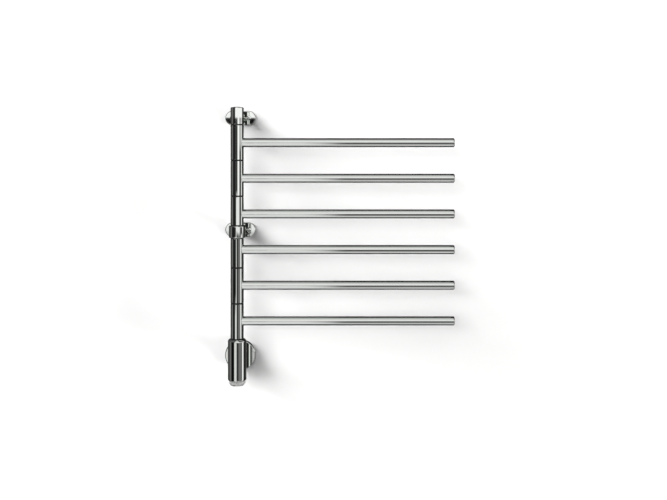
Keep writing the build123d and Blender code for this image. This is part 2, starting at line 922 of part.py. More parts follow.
def make_fuse():
    """Thermal fuse that lies on the board beside the terminal block."""
    across = terminal_width / 2 + fuse_side_gap + fuse_diameter / 2
    with BuildPart() as fuse:
        with BuildSketch(
            Plane(
                origin=(-fuse_length / 2, across - wall_standoff, board_top + fuse_diameter / 2),
                x_dir=(0, 1, 0),
                z_dir=(1, 0, 0),
            )
        ):
            Circle(fuse_diameter / 2)
        extrude(amount=fuse_length)
    finish(fuse, "thermal_fuse")


# Knob
def knob_radius_at(rise):
    """Radius of the knob's tapered skirt at a height above its foot."""
    taper_height = knob_height - knob_straight_height
    share = min(rise / taper_height, 1)
    return (knob_foot_diameter + (knob_diameter - knob_foot_diameter) * share) / 2


def make_knob():
    """Fluted control knob under the housing, tapered towards its foot."""
    top = knob_diameter / 2
    foot = knob_foot_diameter / 2
    socket_floor = housing_bottom - knob_gap - knob_relief_depth - shaft_knob_depth
    with BuildPart() as knob:
        with BuildSketch(upright(knob_bottom)):
            with BuildLine():
                Polyline(
                    (0, 0),
                    (foot, 0),
                    (top, knob_height - knob_straight_height),
                    (top, knob_height),
                    (0, knob_height),
                    close=True,
                )
            make_face()
        revolve(axis=post_axis)
        fillet(knob.edges().filter_by(GeomType.CIRCLE).sort_by(Axis.Z)[0], knob_edge_round)
        with BuildSketch(level(knob_bottom)):
            with PolarLocations(top, knob_flute_count):
                Circle(knob_flute_diameter / 2)
        extrude(amount=knob_height, mode=Mode.SUBTRACT)
        with BuildSketch(level(knob_top - knob_relief_depth)):
            Circle(top - knob_rim)
        extrude(amount=knob_relief_depth, mode=Mode.SUBTRACT)
        with BuildSketch(level(socket_floor)):
            Circle(shaft_diameter / 2)
        extrude(amount=shaft_knob_depth, mode=Mode.SUBTRACT)
        with Locations(radial(knob_bottom + pointer_height, pointer_direction, top)):
            Hole(pointer_diameter / 2, depth=top - knob_radius_at(pointer_height) + pointer_depth)
    finish(knob, "control_knob")


def make_shaft():
    """Control shaft, a running fit in the end plate and the rotary control."""
    low = knob_top - knob_relief_depth - shaft_knob_depth
    high = plate_inner + shaft_control_depth - joint_gap
    with BuildPart() as shaft:
        with BuildSketch(level(low)):
            Circle(shaft_diameter / 2)
        extrude(amount=high - low)
        chamfer(shaft.edges().filter_by(GeomType.CIRCLE).sort_by(Axis.Z)[-1], shaft_chamfer)
    finish(shaft, "control_shaft")


def make_pointer():
    """Dark mark pressed into the knob's skirt."""
    surface = knob_radius_at(pointer_height)
    with BuildPart() as pointer:
        with BuildSketch(radial(knob_bottom + pointer_height, pointer_direction, surface - pointer_depth)):
            Circle(pointer_diameter / 2)
        extrude(amount=pointer_depth)
    finish(pointer, "knob_pointer")


os.makedirs("parts", exist_ok=True)

for arm in range(1, arm_count + 1):
    make_hub(arm)
    make_bushes(arm)
    make_bar(arm)
    make_bar_cap(arm)
    make_element(arm)

make_core_tube()
make_stop_pins()
make_wiring_loom()

make_top_head()
make_top_nut()
make_top_cap()
make_middle_collar()
make_standoff_arm("top_arm", head_arm_centre, post_radius, head_spigot_depth)
make_standoff_arm("middle_arm", collar_centre, collar_radius, collar_spigot_depth)
make_flange("top_flange", head_arm_centre)
make_flange("middle_flange", collar_centre)
make_arm_screws()
make_wall_screws()
make_grub_screws()

make_lower_arm()
make_wall_plate()
make_rose()
make_cable_gland()
make_control_housing()
make_core_nut()
make_end_plate()
make_end_seal()
make_end_screws()
make_control_body()
make_circuit_board()
make_terminal_block()
make_fuse()

make_knob()
make_shaft()
make_pointer()

print(f"{len(parts_made)} pieces written")
print(f"bars at {[arm_number_height(number) for number in range(1, arm_count + 1)]} mm")
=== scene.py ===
"""Electric heated towel rail: six swinging chrome bars on a wall post, dressed over its CAD frame."""

import logging
import math
from dataclasses import dataclass, field
from enum import Enum

import bmesh
import bpy
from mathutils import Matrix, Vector


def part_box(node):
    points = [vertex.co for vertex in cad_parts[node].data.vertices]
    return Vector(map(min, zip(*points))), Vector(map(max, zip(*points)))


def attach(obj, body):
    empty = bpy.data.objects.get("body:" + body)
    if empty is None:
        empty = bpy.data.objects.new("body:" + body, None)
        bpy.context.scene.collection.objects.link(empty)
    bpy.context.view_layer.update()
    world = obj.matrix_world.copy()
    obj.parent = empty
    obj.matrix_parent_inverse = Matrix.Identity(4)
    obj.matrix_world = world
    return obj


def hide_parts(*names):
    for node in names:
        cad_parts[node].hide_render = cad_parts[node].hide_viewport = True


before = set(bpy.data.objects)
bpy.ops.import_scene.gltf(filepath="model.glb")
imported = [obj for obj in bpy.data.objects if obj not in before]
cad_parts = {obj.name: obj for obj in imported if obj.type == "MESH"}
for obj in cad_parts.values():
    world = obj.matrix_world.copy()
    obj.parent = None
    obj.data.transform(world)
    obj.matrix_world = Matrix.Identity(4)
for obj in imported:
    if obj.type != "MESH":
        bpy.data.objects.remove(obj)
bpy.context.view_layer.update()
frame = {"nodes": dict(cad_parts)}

MM = 0.001
LOG = logging.getLogger("towel_rail")

Number = float | int
Setting = object
Point = tuple[float, float, float]
Outline = list[tuple[float, float]]


class Layout:
    """Places and radii on the rail that several sub-assemblies share, in metres."""

    standoff = 80 * MM
    post_radius = 16 * MM
    bar_heights = tuple(height * MM for height in (99, 186, 273, 360, 447, 534))
    top_arm_height = 599 * MM
    collar_height = 316.5 * MM


# Node building


class Channel:
    """One shader value, on which plain arithmetic adds Math nodes."""

    def __init__(self, graph: "NodeGraph", socket: bpy.types.NodeSocket) -> None:
        """Wrap an output socket of a graph."""
        self.graph = graph
        self.socket = socket

    def _combine(self, operation: str, first: "Channel | Number", second: "Channel | Number") -> "Channel":
        """Add a Math node of two terms.

        Args:
            operation: The Math node's operation.
            first: Left term.
            second: Right term.

        Returns:
            The node's value.
        """
        return self.graph.value("ShaderNodeMath", {"operation": operation}, {0: first, 1: second})

    def __add__(self, other: "Channel | Number") -> "Channel":
        """Return self + other."""
        return self._combine("ADD", self, other)

    def __sub__(self, other: "Channel | Number") -> "Channel":
        """Return self - other."""
        return self._combine("SUBTRACT", self, other)

    def __rsub__(self, other: "Channel | Number") -> "Channel":
        """Return other - self."""
        return self._combine("SUBTRACT", other, self)

    def __mul__(self, other: "Channel | Number") -> "Channel":
        """Return self * other."""
        return self._combine("MULTIPLY", self, other)

    def __truediv__(self, other: "Channel | Number") -> "Channel":
        """Return self / other."""
        return self._combine("DIVIDE", self, other)

    def __rtruediv__(self, other: "Channel | Number") -> "Channel":
        """Return other / self."""
        return self._combine("DIVIDE", other, self)

    __radd__ = __add__
    __rmul__ = __mul__

    def at_least(self, other: "Channel | Number") -> "Channel":
        """Return the larger of the two."""
        return self._combine("MAXIMUM", self, other)

    def within_one(self) -> "Channel":
        """Return the value held between 0 and 1."""
        return self.graph.value("ShaderNodeClamp", {}, {"Value": self, "Min": 0.0, "Max": 1.0})

    def curve(self, operation: str) -> "Channel":
        """Return a one-term Math operation of the value, such as ABSOLUTE or SINE."""
        return self.graph.value("ShaderNodeMath", {"operation": operation}, {0: self})


class NodeGraph:
    """A node tree that is filled through one method for any node."""

    def __init__(self, tree: bpy.types.NodeTree) -> None:
        """Empty a tree and keep it."""
        self.tree = tree
        tree.nodes.clear()

    def node(
        self, kind: str, settings: dict[str, Setting] | None = None, inputs: dict[str | int, Setting] | None = None
    ) -> bpy.types.Node:
        """Add a node of any type.

        Args:
            kind: The node's type name.
            settings: Its own properties, set first. "stops" fills a ramp with (place, colour) pairs.
            inputs: Values or links of its sockets, by identifier, name or index.

        Returns:
            The new node.
        """
        made = self.tree.nodes.new(kind)
        for name, setting in (settings or {}).items():
            if name == "stops":
                self._fill_ramp(made.color_ramp, setting)
            else:
                setattr(made, name, setting)
        for key, given in (inputs or {}).items():
            self._feed(self._socket(made.inputs, key), given)
        return made

    def value(
        self,
        kind: str,
        settings: dict[str, Setting] | None = None,
        inputs: dict[str | int, Setting] | None = None,
        output: str | int = 0,
    ) -> Channel:
        """Add a node and wrap one of its outputs as a Channel."""
        return Channel(self, self._socket(self.node(kind, settings, inputs).outputs, output))

    @staticmethod
    def _socket(sockets: bpy.types.bpy_prop_collection, key: str | int) -> bpy.types.NodeSocket:
        """Find a socket by index, identifier or name."""
        if isinstance(key, int):
            return sockets[key]
        for socket in sockets:
            if socket.identifier == key:
                return socket
        return sockets[key]

    def _feed(self, socket: bpy.types.NodeSocket, given: Setting) -> None:
        """Link a socket to a Channel or socket, or set its own value."""
        if isinstance(given, Channel):
            given = given.socket
        if isinstance(given, bpy.types.NodeSocket):
            self.tree.links.new(given, socket)
        else:
            socket.default_value = given

    @staticmethod
    def _fill_ramp(ramp: bpy.types.ColorRamp, stops: list[tuple[float, tuple]]) -> None:
        """Give a colour ramp exactly these stops."""
        while len(ramp.elements) > 1:
            ramp.elements.remove(ramp.elements[-1])
        ramp.elements[0].position, ramp.elements[0].color = stops[0]
        for place, colour in stops[1:]:
            ramp.elements.new(place).color = colour


# Finishes


@dataclass(frozen=True)
class Finish:
    """Common part of every finish: a name, a colour and a basic roughness."""

    name: str
    colour: Point
    roughness: float

    def material(self) -> bpy.types.Material:
        """Return the finish's material, made at its first use."""
        made = bpy.data.materials.get(self.name)
        if made is None:
            made = bpy.data.materials.new(self.name)
            made.use_nodes = True
            self.shade(NodeGraph(made.node_tree))
        return made

    def shade(self, graph: NodeGraph) -> None:
        """Fill the material's node tree."""
        raise NotImplementedError

    @property
    def rgba(self) -> tuple[float, float, float, float]:
        """Colour with full alpha."""
        return (*self.colour, 1.0)

    def place(self, graph: NodeGraph, stretch: Point = (1, 1, 1)) -> Channel:
        """Return object coordinates, stretched along the axes.

        Args:
            graph: The tree that is being filled.
            stretch: How many times finer the pattern is along each axis.

        Returns:
            The coordinates as a vector.
        """
        here = graph.value("ShaderNodeTexCoord", output="Object")
        return graph.value("ShaderNodeMapping", {"vector_type": "POINT"}, {"Vector": here, "Scale": stretch})

    def noise(self, graph: NodeGraph, scale: float, detail: float = 3, stretch: Point = (1, 1, 1)) -> Channel:
        """Return a noise pattern between 0 and 1 at a scale in cycles per metre."""
        where = self.place(graph, stretch)
        return graph.value("ShaderNodeTexNoise", {}, {"Vector": where, "Scale": scale, "Detail": detail})

    def tinted(self, graph: NodeGraph, amount: Channel, other: Point) -> Channel:
        """Return the finish's colour, mixed towards another by an amount."""
        return graph.value(
            "ShaderNodeMix",
            {"data_type": "RGBA"},
            {"Factor_Float": amount, "A_Color": self.rgba, "B_Color": (*other, 1.0)},
            "Result_Color",
        )

    def bumped(self, graph: NodeGraph, height: Channel, strength: float, distance: float) -> Channel:
        """Return a normal that follows a height pattern."""
        return graph.value("ShaderNodeBump", {}, {"Height": height, "Strength": strength, "Distance": distance})

    def surface(self, graph: NodeGraph, inputs: dict[str, Setting]) -> None:
        """Add the surface shader and the output."""
        shader = graph.value("ShaderNodeBsdfPrincipled", {}, inputs)
        graph.node("ShaderNodeOutputMaterial", {}, {"Surface": shader})


@dataclass(frozen=True)
class PolishedPlate(Finish):
    """Mirror plating with a film of handling marks, hairline polishing scratches and a slight waviness."""

    edge_tint: Point = (0.45, 0.47, 0.44)
    smudge: float = 0.012
    scratch_axis: Point = (90, 90, 900)
    waviness: float = 0.006

    def shade(self, graph: NodeGraph) -> None:
        """Vary roughness by smudges and hairlines, and the normal by a faint unevenness of the plating."""
        smudges = (self.noise(graph, 26, 4) * 2.6 - 1.05).within_one()
        hairlines = (self.noise(graph, 4, 2, self.scratch_axis) * 5 - 3.1).within_one()
        specks = (self.noise(graph, 900, 1) * 9 - 6.6).within_one()
        rough = self.roughness + smudges * self.smudge + hairlines * 0.01 + specks * 0.012
        ripple = self.noise(graph, 60, 2)
        self.surface(
            graph,
            {
                "Base Color": self.tinted(graph, smudges * 0.25, tuple(0.9 * part for part in self.colour)),
                "Metallic": 1.0,
                "Roughness": rough,
                "Specular Tint": (*self.edge_tint, 1.0),
                "Normal": self.bumped(graph, ripple + hairlines * 0.02, self.waviness, 0.0004),
            },
        )


@dataclass(frozen=True)
class SatinMetal(Finish):
    """Metal with a dull sheen: zinc plate, stainless steel or brass, with handling marks and fine pits."""

    stain: Point = (0.5, 0.5, 0.5)
    metallic: float = 1.0

    def shade(self, graph: NodeGraph) -> None:
        """Mottle colour and roughness, and pit the surface finely."""
        mottle = (self.noise(graph, 180, 4) * 2.4 - 0.7).within_one()
        pits = self.noise(graph, 2600, 2)
        self.surface(
            graph,
            {
                "Base Color": self.tinted(graph, mottle * 0.5, self.stain),
                "Metallic": self.metallic,
                "Roughness": self.roughness + mottle * 0.14,
                "Normal": self.bumped(graph, pits, 0.12, 0.0001),
            },
        )


@dataclass(frozen=True)
class Moulding(Finish):
    """Moulded or sheathed non-metal: bearing polymer, rubber, plastics, ceramic, board and sleeve."""

    fleck: Point = (0.5, 0.5, 0.5)
    grain: float = 1500
    relief: float = 0.2
    stretch: Point = (1, 1, 1)
    gloss: float = 0.5

    def shade(self, graph: NodeGraph) -> None:
        """Give the moulding its fine grain, a few flecks and uneven sheen."""
        flecks = (self.noise(graph, self.grain / 3, 3, self.stretch) * 3 - 1.4).within_one()
        grain = self.noise(graph, self.grain, 2, self.stretch)
        self.surface(
            graph,
            {
                "Base Color": self.tinted(graph, flecks * 0.35, self.fleck),
                "Roughness": self.roughness + flecks * 0.12,
                "Specular IOR Level": self.gloss,
                "Normal": self.bumped(graph, grain, self.relief, 0.0001),
            },
        )


@dataclass(frozen=True)
class Backdrop(Finish):
    """White wall or pale floor that keeps the rail's shadow, and is open from behind and to the metal.

    Metal and glass see through it to the studio, which holds tones for the wall and floor there. The wall's tones are
    far darker than its white paint: painted shade, as the metal sees it.
    """

    lift: float = 0.3

    def shade(self, graph: NodeGraph) -> None:
        """Light the paint as it is, lift it to white for the camera, and open it for rays off the metal."""
        path = graph.node("ShaderNodeLightPath")
        camera = Channel(graph, path.outputs["Is Camera Ray"])
        metal = Channel(graph, path.outputs["Is Glossy Ray"]) + Channel(graph, path.outputs["Is Transmission Ray"])
        behind = graph.value("ShaderNodeNewGeometry", output="Backfacing")
        plaster = self.bumped(graph, self.noise(graph, 700, 3), 0.02, 0.0002)
        mottle = self.noise(graph, 14, 3)
        paint = graph.value(
            "ShaderNodeBsdfPrincipled",
            {},
            {
                "Base Color": self.tinted(graph, mottle * 0.3, tuple(0.985 * part for part in self.colour)),
                "Roughness": self.roughness,
                "Specular IOR Level": 0.0,
                "Normal": plaster,
                "Emission Color": (1, 1, 1, 1),
                "Emission Strength": 0.0,
            },
        )
        glow = graph.value("ShaderNodeEmission", {}, {"Color": (1, 1, 1, 1), "Strength": camera * self.lift})
        lit = graph.value("ShaderNodeAddShader", {}, {0: paint, 1: glow})
        clear = graph.value("ShaderNodeBsdfTransparent")
        opened = metal.at_least(behind).within_one()
        shown = graph.value("ShaderNodeMixShader", {}, {0: opened, 1: lit, 2: clear})
        graph.node("ShaderNodeOutputMaterial", {}, {"Surface": shown})


class Slot(Enum):
    """The record's material slots, each with its finish."""

    CHROME = PolishedPlate("polished_chrome_plate", (0.89, 0.91, 0.88), 0.012)
    KNOB = SatinMetal("knob_satin_plate", (0.88, 0.89, 0.87), 0.22, (0.7, 0.71, 0.69), 0.75)
    ZINC = SatinMetal("zinc_plated_steel", (0.66, 0.67, 0.68), 0.32, (0.5, 0.52, 0.53))
    STAINLESS = SatinMetal("stainless_steel", (0.62, 0.62, 0.61), 0.3, (0.5, 0.5, 0.49))
    BRASS = SatinMetal("turned_brass", (0.78, 0.6, 0.32), 0.28, (0.6, 0.44, 0.22))
    BEARING = Moulding("bearing_polymer", (0.006, 0.006, 0.006), 0.5, (0.012, 0.012, 0.012), 2400, gloss=0.08)
    RUBBER = Moulding("seal_rubber", (0.028, 0.028, 0.028), 0.62, (0.06, 0.06, 0.06), 1800)
    CONTROL = Moulding("control_plastic", (0.06, 0.06, 0.066), 0.45, (0.1, 0.1, 0.1), 1600)
    TERMINAL = Moulding("terminal_plastic", (0.72, 0.71, 0.67), 0.4, (0.8, 0.79, 0.75), 1600)
    BOARD = Moulding("board_laminate", (0.04, 0.2, 0.09), 0.35, (0.06, 0.3, 0.14), 3200)
    CERAMIC = Moulding("fuse_ceramic", (0.8, 0.78, 0.72), 0.5, (0.7, 0.67, 0.6), 2200)
    SLEEVE = Moulding("loom_sleeve", (0.6, 0.58, 0.54), 0.75, (0.45, 0.43, 0.4), 900, 0.6, (1, 1, 4))
    SHEATH = SatinMetal("element_sheath", (0.4, 0.39, 0.37), 0.42, (0.25, 0.24, 0.22))
    POINTER = Moulding("pointer_paint", (0.02, 0.02, 0.02), 0.35, (0.04, 0.04, 0.04), 1800)


SLOT_NAMES = {
    "polished_chrome": Slot.CHROME,
    "knob_chrome": Slot.KNOB,
    "zinc_steel": Slot.ZINC,
    "stainless": Slot.STAINLESS,
    "brass": Slot.BRASS,
    "bush_polymer": Slot.BEARING,
    "seal_rubber": Slot.RUBBER,
    "control_plastic": Slot.CONTROL,
    "terminal_plastic": Slot.TERMINAL,
    "board_laminate": Slot.BOARD,
    "fuse_ceramic": Slot.CERAMIC,
    "loom_sleeve": Slot.SLEEVE,
    "element_sheath": Slot.SHEATH,
    "pointer_paint": Slot.POINTER,
}


# Meshes


def put_in_scene(name: str, mesh: bpy.types.Mesh, finish: Finish | None = None) -> bpy.types.Object:
    """Make an object at the origin from a mesh.

    Args:
        name: The object's name.
        mesh: Its mesh, with its place in its points.
        finish: The finish to put on it, or None where the mesh has its material.

    Returns:
        The new object.
    """
    piece = bpy.data.objects.new(name, mesh)
    mesh.name = name
    bpy.context.scene.collection.objects.link(piece)
    if finish is not None:
        mesh.materials.clear()
        mesh.materials.append(finish.material())
    return piece


def dress(piece: bpy.types.Object, body: str, slot: str, *nodes: str) -> bpy.types.Object:
    """Fix a finished piece to its body, and hide the CAD nodes that it stands for.

    Args:
        piece: The piece, at the origin.
        body: The CAD body that it moves with.
        slot: The record's material slot. Not used.
        nodes: The CAD nodes that it replaces.

    Returns:
        The same piece.
    """
    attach(piece, body)
    if nodes:
        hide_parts(*nodes)
    LOG.info("%s rides on %s", piece.name, body)
    return piece


@dataclass(frozen=True)
class TurningAxis:
    """The line that a turned piece goes round, with the direction in which its outline's heights count."""

    origin: Vector
    along: Vector

    @classmethod
    def post(cls) -> "TurningAxis":
        """Return the post's axis, heights counted upwards from the origin's level."""
        return cls(Vector((0, -Layout.standoff, 0)), Vector((0, 0, 1)))

    @classmethod
    def bar(cls, height: float) -> "TurningAxis":
        """Return a bar's axis, lengths counted from the post to the closed end."""
        return cls(Vector((0, -Layout.standoff, height)), Vector((1, 0, 0)))

    def sides(self) -> tuple[Vector, Vector]:
        """Return two directions square to the axis that make a right-handed set with it."""
        first = self.along.orthogonal().normalized()
        return first, self.along.cross(first)


def held(outline: Outline, hold: float = 0.15 * MM) -> Outline:
    """Add a point just inside both ends of every long run, so that its face stays true up to its edges.

    Args:
        outline: (radius, height) pairs.
        hold: Distance of the added points from the ends of the run.

    Returns:
        The outline with its added points.
    """
    points = [outline[0]]
    for (radius, height), (next_radius, next_height) in zip(outline, outline[1:]):
        length = math.hypot(next_radius - radius, next_height - height)
        if length > 6 * hold:
            for share in (hold / length, 1 - hold / length):
                points.append((radius + (next_radius - radius) * share, height + (next_height - height) * share))
        points.append((next_radius, next_height))
    return points


def turn(outline: Outline, axis: TurningAxis, columns: int) -> bpy.types.Mesh:
    """Turn an outline round an axis into a closed mesh.

    Args:
        outline: (radius, height) pairs from one end of the piece to the other. A radius of 0 closes it.
        axis: The axis.
        columns: Number of faces round it.

    Returns:
        The mesh, with faces outwards and creases kept sharp.
    """
    shape = bmesh.new()
    first, second = axis.sides()
    rings: list[list[bmesh.types.BMVert]] = []
    for radius, height in held(outline):
        middle = axis.origin + axis.along * height
        if radius < 1e-7:
            rings.append([shape.verts.new(middle)])
            continue
        ring = []
        for column in range(columns):
            angle = math.tau * column / columns
            ring.append(shape.verts.new(middle + (first * math.cos(angle) + second * math.sin(angle)) * radius))
        rings.append(ring)
    for low, high in zip(rings, rings[1:]):
        for column in range(columns):
            ahead = (column + 1) % columns
            corners = [low[column % len(low)], low[ahead % len(low)], high[ahead % len(high)], high[column % len(high)]]
            corners = list(dict.fromkeys(corners))
            if len(corners) > 2:
                shape.faces.new(corners)
    bmesh.ops.recalc_face_normals(shape, faces=shape.faces)
    return smooth_mesh(shape)


def smooth_mesh(shape: bmesh.types.BMesh, crease: float = 32) -> bpy.types.Mesh:
    """Turn a bmesh into a smooth mesh whose creases over an angle in degrees stay sharp."""
    mesh = bpy.data.meshes.new("turned")
    shape.to_mesh(mesh)
    shape.free()
    mesh.polygons.foreach_set("use_smooth", [True] * len(mesh.polygons))
    mesh.set_sharp_from_angle(angle=math.radians(crease))
    return mesh


def rounded_corner(corner: tuple[float, float], radius: float, start: float, steps: int = 8) -> Outline:
    """Return points of a quarter round.

    Args:
        corner: (radius, height) of the round's centre.
        radius: The round's size.
        start: Direction of its first point in degrees, 0 outwards and 90 up. It turns forwards by 90.
        steps: Number of faces along it.

    Returns:
        The points in order.
    """
    turns = [math.radians(start + 90 * step / steps) for step in range(steps + 1)]
    return [(corner[0] + radius * math.cos(turn_), corner[1] + radius * math.sin(turn_)) for turn_ in turns]


def dome_points(radius: float, low: float, dome: float, steps: int = 8) -> Outline:
    """Return points of a shallow dome from its rim to its crown on the axis."""
    ball = (radius**2 + dome**2) / (2 * dome)
    widest = math.asin(radius / ball)
    turns = [widest * (1 - step / steps) for step in range(1, steps + 1)]
    return [(ball * math.sin(turn_), low + dome - ball * (1 - math.cos(turn_))) for turn_ in turns]


class GeometryTree(NodeGraph):
    """A Geometry Nodes tree with named inputs, which grows one plain mesh at a time."""

    def __init__(self, name: str, sizes: dict[str, type]) -> None:
        """Make an empty tree.

        Args:
            name: The tree's name.
            sizes: Input names with their types: float, int, Vector or bpy.types.Material.
        """
        kinds = {
            float: "NodeSocketFloat",
            int: "NodeSocketInt",
            Vector: "NodeSocketVector",
            bpy.types.Material: "NodeSocketMaterial",
        }
        tree = bpy.data.node_groups.new(name, "GeometryNodeTree")
        super().__init__(tree)
        tree.interface.new_socket("Geometry", in_out="INPUT", socket_type="NodeSocketGeometry")
        for size, kind in sizes.items():
            tree.interface.new_socket(size, in_out="INPUT", socket_type=kinds[kind])
        tree.interface.new_socket("Geometry", in_out="OUTPUT", socket_type="NodeSocketGeometry")
        self.start = self.node("NodeGroupInput")

    def size(self, name: str) -> Channel:
        """Return a named input."""
        return Channel(self, self.start.outputs[name])

    def close(self, geometry: Channel) -> None:
        """End the tree: real geometry with its material set."""
        real = self.value("GeometryNodeRealizeInstances", {}, {0: geometry})
        finished = self.value("GeometryNodeSetMaterial", {}, {"Geometry": real, "Material": self.size("Finish")})
        self.node("NodeGroupOutput", {}, {0: finished})

    def grow(self, name: str, sizes: dict[str, Setting], base: bpy.types.Mesh | None = None) -> bpy.types.Object:
        """Run the tree and keep its result as a plain mesh at the origin.

        Args:
            name: The new object's name.
            sizes: Values of the named inputs.
            base: The mesh that the tree starts from, if it needs one.

        Returns:
            The new object, with no modifier.
        """
        holder = bpy.data.objects.new("growing", base or bpy.data.meshes.new("empty"))
        bpy.context.scene.collection.objects.link(holder)
        modifier = holder.modifiers.new("grow", "NODES")
        modifier.node_group = self.tree
        for item in self.tree.interface.items_tree:
            if item.in_out == "INPUT" and item.name in sizes:
                modifier[item.identifier] = sizes[item.name]
        bpy.context.view_layer.update()
        depsgraph = bpy.context.evaluated_depsgraph_get()
        mesh = bpy.data.meshes.new_from_object(holder.evaluated_get(depsgraph), depsgraph=depsgraph)
        holder.modifiers.remove(modifier)
        bpy.data.objects.remove(holder)
        return put_in_scene(name, mesh)


# The rail


@dataclass
class SwingArm:
    """One swinging arm: the sleeve on the post, its bar and the bar's rounded end."""

    number: int
    low: float
    high: float
    sleeve_bore: float = 12.5 * MM
    edge: float = 0.3 * MM
    bar_radius: float = 11 * MM
    tube_end: float = 526.5 * MM
    cap_rim: float = 4.5 * MM
    cap_round: float = 2.8 * MM
    cap_dome: float = 0.8 * MM
    bead: float = 0.45 * MM
    columns: int = 96

    @property
    def height(self) -> float:
        """Height of the bar's centre line."""
        return Layout.bar_heights[self.number - 1]

    @property
    def body(self) -> str:
        """Name of the CAD body."""
        return f"arm_{self.number}"

    def build(self) -> None:
        """Build and dress the arm's pieces."""
        self.build_sleeve()
        self.build_bar()
        self.build_end_cap()

    def build_sleeve(self) -> None:
        """Turn the sleeve with softened edges and an open bore."""
        outer, bore, edge = Layout.post_radius, self.sleeve_bore, self.edge
        outline = [(bore, self.low), (outer - edge, self.low), (outer, self.low + edge)]
        outline += [(outer, self.high - edge), (outer - edge, self.high), (bore, self.high), (bore, self.low)]
        mesh = turn(outline, TurningAxis.post(), self.columns)
        piece = put_in_scene(f"arm_{self.number}_sleeve", mesh, Slot.CHROME.value)
        dress(piece, self.body, "polished_chrome", f"hub_{self.number}")

    def build_bar(self) -> None:
        """Grow the bar from its rule: a round tube whose root fits the sleeve, with a fine polished bead there."""
        piece = BarTree.shared().grow(
            f"arm_{self.number}_bar",
            {
                "Height": self.height,
                "Bar radius": self.bar_radius,
                "Post radius": Layout.post_radius,
                "Root sink": 0.4 * MM,
                "Bar end": self.tube_end,
                "Bead radius": self.bead,
                "Columns": self.columns,
                "Finish": Slot.CHROME.value.material(),
            },
        )
        dress(piece, self.body, "polished_chrome", f"bar_{self.number}")

    def build_end_cap(self) -> None:
        """Turn the bar's rounded end, with a hair joint to the tube."""
        rim = self.cap_rim - self.cap_dome
        centre = (self.bar_radius - self.cap_round, self.tube_end + rim - self.cap_round)
        outline = [(0, self.tube_end - 3 * MM), (self.bar_radius - 1.5 * MM, self.tube_end - 3 * MM)]
        outline += [(self.bar_radius - 1.5 * MM, self.tube_end + 0.02 * MM)]
        outline += [(self.bar_radius - 0.12 * MM, self.tube_end + 0.02 * MM), (self.bar_radius, self.tube_end + 0.14 * MM)]
        outline += rounded_corner(centre, self.cap_round, 0, 10)
        outline += dome_points(self.bar_radius - self.cap_round, self.tube_end + rim, self.cap_dome)
        mesh = turn(outline, TurningAxis.bar(self.height), self.columns)
        piece = put_in_scene(f"arm_{self.number}_end_cap", mesh, Slot.CHROME.value)
        dress(piece, self.body, "polished_chrome", f"bar_cap_{self.number}")


class BarTree(GeometryTree):
    """Rule of a bar: every line along the tube starts where it meets the sleeve's round wall."""

    made: "BarTree | None" = None

    @classmethod
    def shared(cls) -> "BarTree":
        """Return the one tree that all bars use."""
        if cls.made is None:
            cls.made = cls()
        return cls.made

    def __init__(self) -> None:
        """Build the tree."""
        sizes = {"Height": float, "Bar radius": float, "Post radius": float, "Root sink": float}
        sizes |= {"Bar end": float, "Bead radius": float, "Columns": int, "Finish": bpy.types.Material}
        super().__init__("swinging_bar", sizes)
        tube = self.tube()
        bead = self.bead()
        joined = self.node("GeometryNodeJoinGeometry")
        self.tree.links.new(tube.socket, joined.inputs[0])
        self.tree.links.new(bead.socket, joined.inputs[0])
        place = self.value("ShaderNodeCombineXYZ", {}, {"Y": -Layout.standoff, "Z": self.size("Height")})
        moved = self.value("GeometryNodeTransform", {}, {"Geometry": joined.outputs[0], "Translation": place})
        smooth = self.value("GeometryNodeSetShadeSmooth", {}, {0: moved, "Shade Smooth": True})
        self.close(smooth)

    def saddle(self, radius: Channel) -> Channel:
        """Return how far from the post's axis the sleeve's wall lies, at a point's place across the bar."""
        across = self.value("ShaderNodeSeparateXYZ", {}, {0: self.value("GeometryNodeInputPosition")}, "Y")
        return (radius * radius - across * across).curve("SQRT")

    def tube(self) -> Channel:
        """Return the open tube along +X, its root fitted to the sleeve."""
        end = self.value("ShaderNodeCombineXYZ", {}, {"X": self.size("Bar end")})
        line = self.value("GeometryNodeCurvePrimitiveLine", {}, {"Start": (0.008, 0, 0), "End": end})
        cut = self.value("GeometryNodeResampleCurve", {}, {"Curve": line, "Count": 24})
        ring = self.value(
            "GeometryNodeCurvePrimitiveCircle",
            {},
            {"Resolution": self.size("Columns"), "Radius": self.size("Bar radius")},
        )
        tube = self.value("GeometryNodeCurveToMesh", {}, {"Curve": cut, "Profile Curve": ring})
        along = self.value("ShaderNodeSeparateXYZ", {}, {0: self.value("GeometryNodeInputPosition")}, "X")
        root = self.saddle(self.size("Post radius") - self.size("Root sink"))
        offset = self.value("ShaderNodeCombineXYZ", {}, {"X": (root - along).at_least(0)})
        return self.value("GeometryNodeSetPosition", {}, {"Geometry": tube, "Offset": offset})

    def bead(self) -> Channel:
        """Return the fine polished bead that runs round the bar's root on the sleeve."""
        ring = self.value(
            "GeometryNodeCurvePrimitiveCircle",
            {},
            {"Resolution": self.size("Columns"), "Radius": self.size("Bar radius")},
        )
        upright = self.value("GeometryNodeTransform", {}, {"Geometry": ring, "Rotation": (0, math.pi / 2, 0)})
        offset = self.value("ShaderNodeCombineXYZ", {}, {"X": self.saddle(self.size("Post radius"))})
        path = self.value("GeometryNodeSetPosition", {}, {"Geometry": upright, "Offset": offset})
        section = self.value(
            "GeometryNodeCurvePrimitiveCircle", {}, {"Resolution": 10, "Radius": self.size("Bead radius")}
        )
        return self.value("GeometryNodeCurveToMesh", {}, {"Curve": path, "Profile Curve": section})


